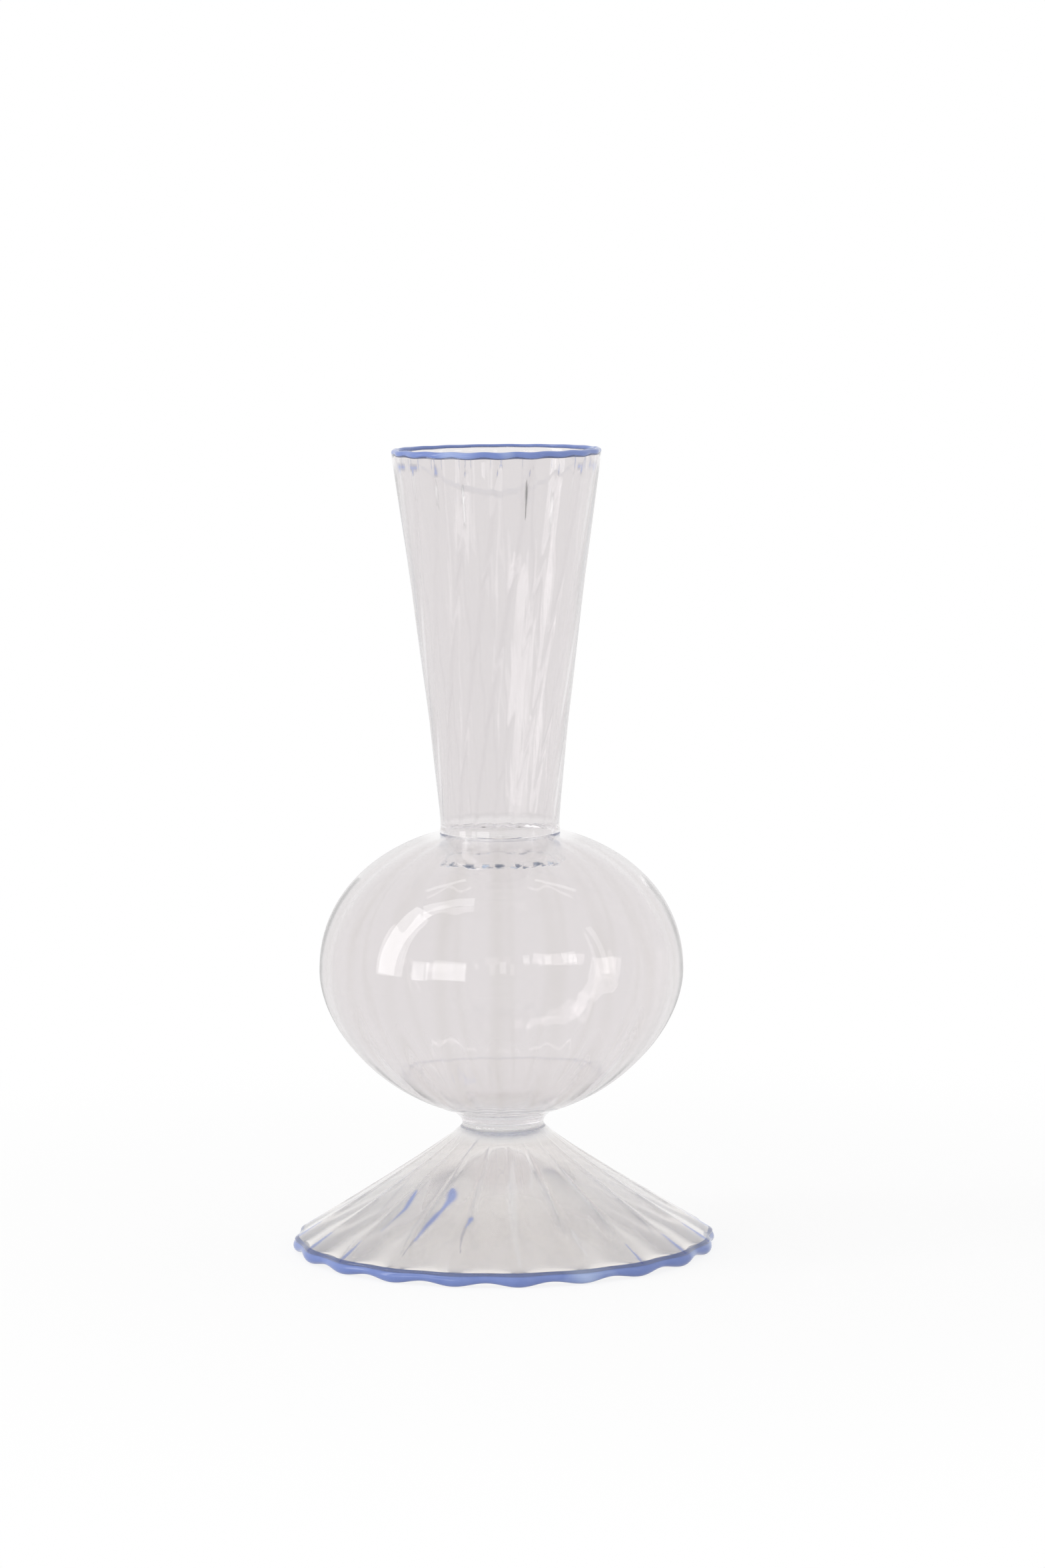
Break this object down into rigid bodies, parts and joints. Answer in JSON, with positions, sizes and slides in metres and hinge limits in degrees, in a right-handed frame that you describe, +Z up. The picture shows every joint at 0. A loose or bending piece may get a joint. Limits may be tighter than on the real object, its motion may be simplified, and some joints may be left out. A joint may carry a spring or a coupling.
{
  "type": "ribbed glass vase",
  "caption": "Footed glass vase: a flared neck with twisted ribs on a ribbed globe and a scalloped conical foot, with a blue glass thread on the lip and on the foot's edge.",
  "frame": {"origin": "on the vase's axis, in the plane of the table that it stands on", "axes": "+Z up along the vase's axis, out of its mouth; -Y is the side that faces the viewer"},
  "size_m": [0.1324, 0.1324, 0.25],
  "materials": {
    "clear_glass": "fire-polished clear soda-lime glass with a faint grey tint",
    "blue_glass": "glossy opaque periwinkle-blue glass thread"
  },
  "bodies": {
    "root": {"foot": "clear_glass", "foot_edge_wrap": "blue_glass", "stem_collar": "clear_glass", "globe": "clear_glass", "neck_seal": "clear_glass", "neck": "clear_glass", "lip_wrap": "blue_glass"}
  },
  "joints": []
}
